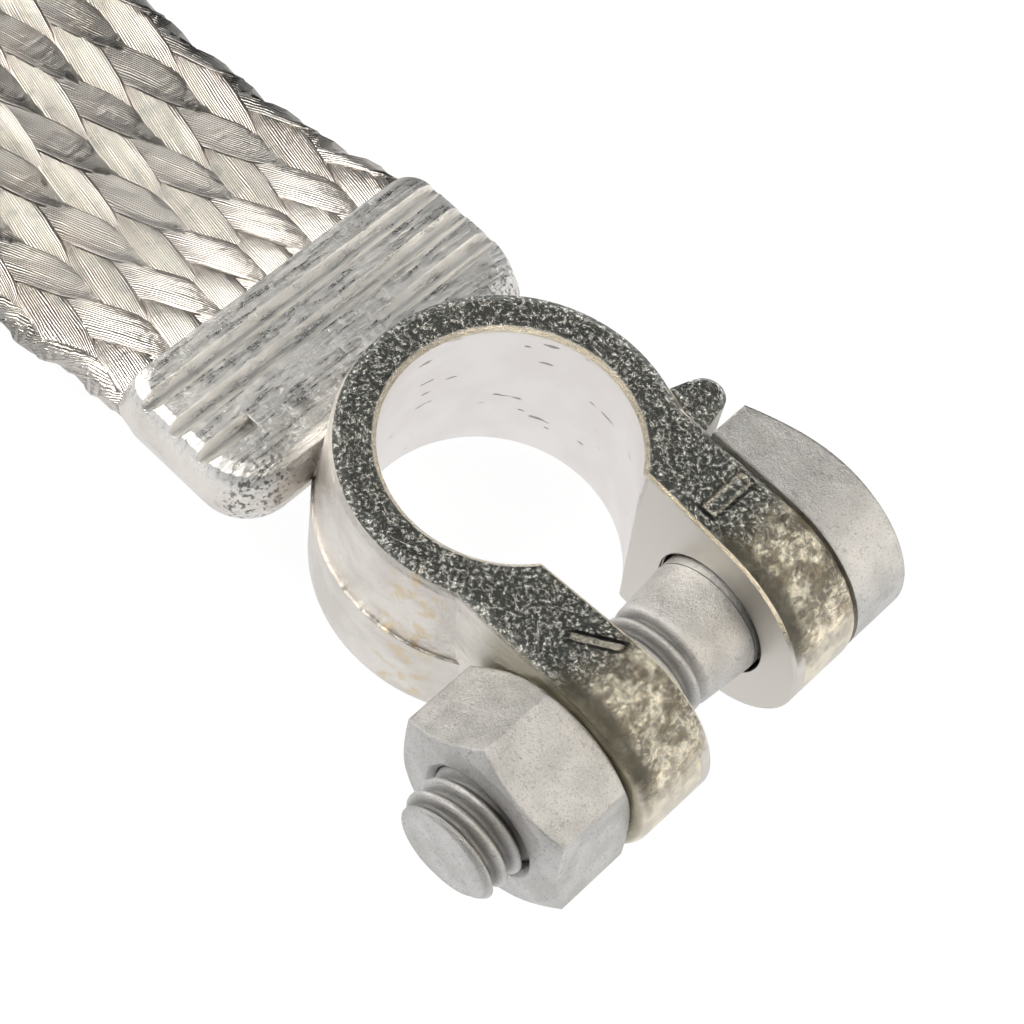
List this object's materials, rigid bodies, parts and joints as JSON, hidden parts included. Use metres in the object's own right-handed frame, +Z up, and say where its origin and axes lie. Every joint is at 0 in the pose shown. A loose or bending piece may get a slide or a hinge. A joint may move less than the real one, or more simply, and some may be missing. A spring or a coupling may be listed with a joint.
{
  "type": "battery ground strap",
  "caption": "Flat woven battery ground strap with a cast post clamp, its clamp bolt and nut, and a crimped ring lug at the far end.",
  "frame": {"origin": "centre of the post bore at the underside of the casting", "axes": "+Z up the post bore, +X from the strap towards the jaws, +Y towards the bolt head"},
  "size_m": [0.264, 0.0356, 0.0152],
  "materials": {
    "casting": "bright rough casting, plated",
    "zinc_steel": "satin zinc plating",
    "tinned_braid": "woven tinned wire",
    "tinned_lug": "tinned sheet"
  },
  "bodies": {
    "strap": {"terminal_clamp": "casting", "braid_strap": "tinned_braid", "end_lug": "tinned_lug"},
    "bolt": {"clamp_bolt": "zinc_steel"},
    "nut": {"clamp_nut": "zinc_steel"}
  },
  "joints": [
    {"name": "nut_turn", "type": "hinge", "parent": "strap", "child": "nut", "pos_m": [0.01485, -0.0136, 0.0076], "axis": [0, -1, 0], "range_deg": [0, 2520]},
    {"name": "bolt_slide", "type": "slide", "parent": "strap", "child": "bolt", "axis": [0, 1, 0], "range_m": [0, 0.00876]}
  ],
  "couplings": [
    {"joint": "bolt_slide", "follows": "nut_turn", "m_per_rad": 0.00019894}
  ]
}
